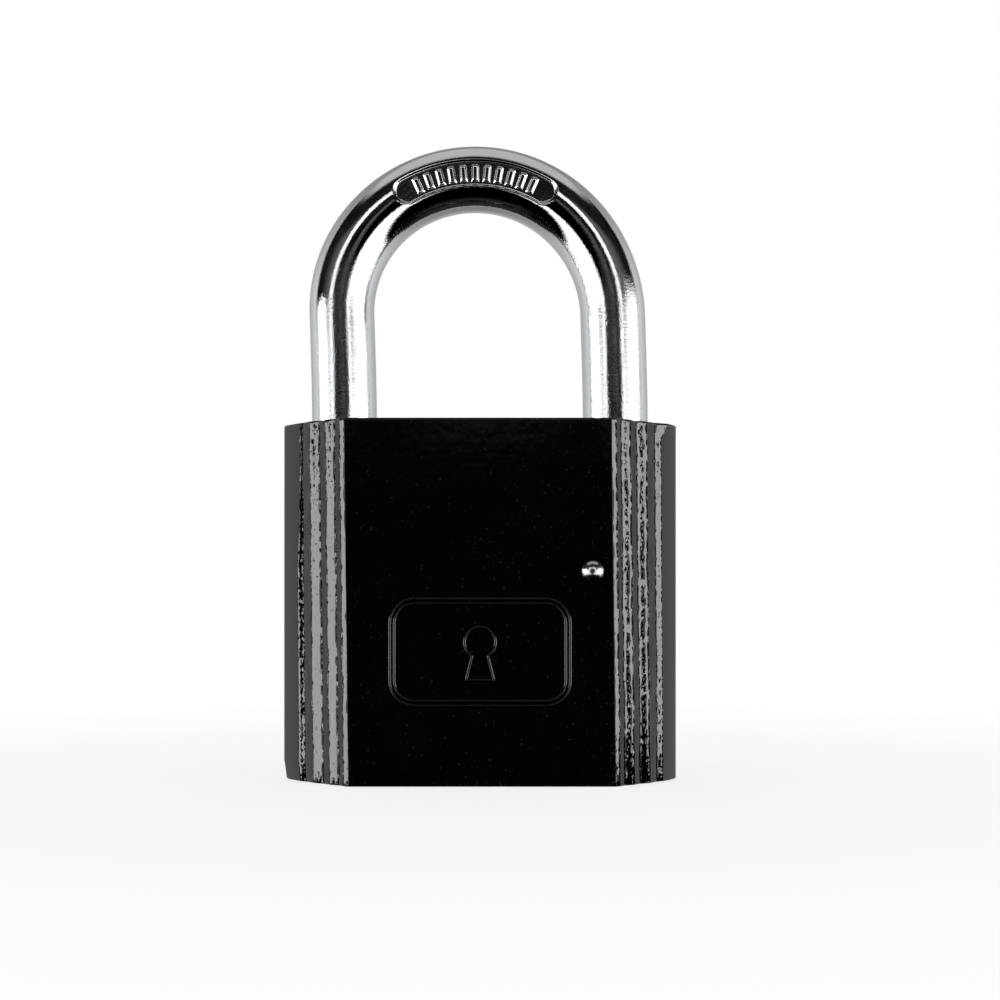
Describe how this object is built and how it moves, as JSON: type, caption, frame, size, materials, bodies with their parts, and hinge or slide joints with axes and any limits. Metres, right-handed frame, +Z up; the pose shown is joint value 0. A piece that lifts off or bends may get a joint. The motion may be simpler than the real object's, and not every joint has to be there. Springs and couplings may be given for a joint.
{
  "type": "padlock",
  "caption": "Black enamelled iron padlock with a chromed round shackle that lifts out of the case, a sprung latch and a pin-tumbler plug turned by a key from below.",
  "frame": {"origin": "middle of the case's underside", "axes": "+Z up along the shackle, -Y out of the front face, +X to the right seen from the front"},
  "size_m": [0.05, 0.0228, 0.0808],
  "materials": {
    "black_enamel": "gloss black stove enamel over cast iron",
    "chrome_steel": "bright chrome plate over hardened steel",
    "polished_steel": "polished steel dome",
    "plain_steel": "turned steel",
    "spring_steel": "drawn spring wire",
    "brass": "turned brass"
  },
  "bodies": {
    "case": {"case": "black_enamel", "shackle_retaining_pin": "polished_steel", "plug_retaining_pin": "plain_steel", "chamber_plugs": "brass", "latch_bore_plug": "plain_steel", "shackle_spring": "spring_steel", "latch_spring": "spring_steel", "driver_spring_1": "spring_steel", "driver_spring_2": "spring_steel", "driver_spring_3": "spring_steel", "driver_spring_4": "spring_steel", "driver_spring_5": "spring_steel"},
    "shackle": {"shackle": "chrome_steel"},
    "plug": {"plug": "brass"},
    "latch_bolt": {"latch_bolt": "plain_steel"},
    "key_pin_1": {"key_pin_1": "brass"},
    "driver_pin_1": {"driver_pin_1": "plain_steel"},
    "key_pin_2": {"key_pin_2": "brass"},
    "driver_pin_2": {"driver_pin_2": "plain_steel"},
    "key_pin_3": {"key_pin_3": "brass"},
    "driver_pin_3": {"driver_pin_3": "plain_steel"},
    "key_pin_4": {"key_pin_4": "brass"},
    "driver_pin_4": {"driver_pin_4": "plain_steel"},
    "key_pin_5": {"key_pin_5": "brass"},
    "driver_pin_5": {"driver_pin_5": "plain_steel"}
  },
  "joints": [
    {"name": "shackle_lift", "type": "slide", "parent": "case", "child": "shackle", "axis": [0, 0, 1], "range_m": [0, 0.0105], "deforming": ["shackle_spring"]},
    {"name": "key_turn", "type": "hinge", "parent": "case", "child": "plug", "pos_m": [0, 0, 0.02], "axis": [0, 0, -1], "range_deg": [0, 90]},
    {"name": "latch_slide", "type": "slide", "parent": "case", "child": "latch_bolt", "axis": [-1, 0, 0], "range_m": [0, 0.00312], "deforming": ["latch_spring"]},
    {"name": "driver_pin_1_travel", "type": "slide", "parent": "case", "child": "driver_pin_1", "axis": [-1, 0, 0], "range_m": [0, 0.002], "stiffness_N_per_m": 60, "deforming": ["driver_spring_1"]},
    {"name": "key_pin_1_drop", "type": "slide", "parent": "plug", "child": "key_pin_1", "axis": [0, 1, 0], "range_m": [0, 0.00165]},
    {"name": "driver_pin_2_travel", "type": "slide", "parent": "case", "child": "driver_pin_2", "axis": [-1, 0, 0], "range_m": [0, 0.002], "stiffness_N_per_m": 60, "deforming": ["driver_spring_2"]},
    {"name": "key_pin_2_drop", "type": "slide", "parent": "plug", "child": "key_pin_2", "axis": [0, 1, 0], "range_m": [0, 0.000851]},
    {"name": "driver_pin_3_travel", "type": "slide", "parent": "case", "child": "driver_pin_3", "axis": [-1, 0, 0], "range_m": [0, 0.002], "stiffness_N_per_m": 60, "deforming": ["driver_spring_3"]},
    {"name": "key_pin_3_drop", "type": "slide", "parent": "plug", "child": "key_pin_3", "axis": [0, 1, 0], "range_m": [0, 0.00205]},
    {"name": "driver_pin_4_travel", "type": "slide", "parent": "case", "child": "driver_pin_4", "axis": [-1, 0, 0], "range_m": [0, 0.002], "stiffness_N_per_m": 60, "deforming": ["driver_spring_4"]},
    {"name": "key_pin_4_drop", "type": "slide", "parent": "plug", "child": "key_pin_4", "axis": [0, 1, 0], "range_m": [0, 0.00125]},
    {"name": "driver_pin_5_travel", "type": "slide", "parent": "case", "child": "driver_pin_5", "axis": [-1, 0, 0], "range_m": [0, 0.002], "stiffness_N_per_m": 60, "deforming": ["driver_spring_5"]},
    {"name": "key_pin_5_drop", "type": "slide", "parent": "plug", "child": "key_pin_5", "axis": [0, 1, 0], "range_m": [0, 0.000451]}
  ],
  "couplings": [
    {"joint": "latch_slide", "follows": "key_turn", "m_per_rad": 0.0019807},
    {"joint": "driver_pin_2_travel", "follows": "driver_pin_1_travel", "ratio": 1},
    {"joint": "key_pin_2_drop", "follows": "key_pin_1_drop", "ratio": 0.51515},
    {"joint": "driver_pin_3_travel", "follows": "driver_pin_1_travel", "ratio": 1},
    {"joint": "key_pin_3_drop", "follows": "key_pin_1_drop", "ratio": 1.2424},
    {"joint": "driver_pin_4_travel", "follows": "driver_pin_1_travel", "ratio": 1},
    {"joint": "key_pin_4_drop", "follows": "key_pin_1_drop", "ratio": 0.75758},
    {"joint": "driver_pin_5_travel", "follows": "driver_pin_1_travel", "ratio": 1},
    {"joint": "key_pin_5_drop", "follows": "key_pin_1_drop", "ratio": 0.27273}
  ]
}
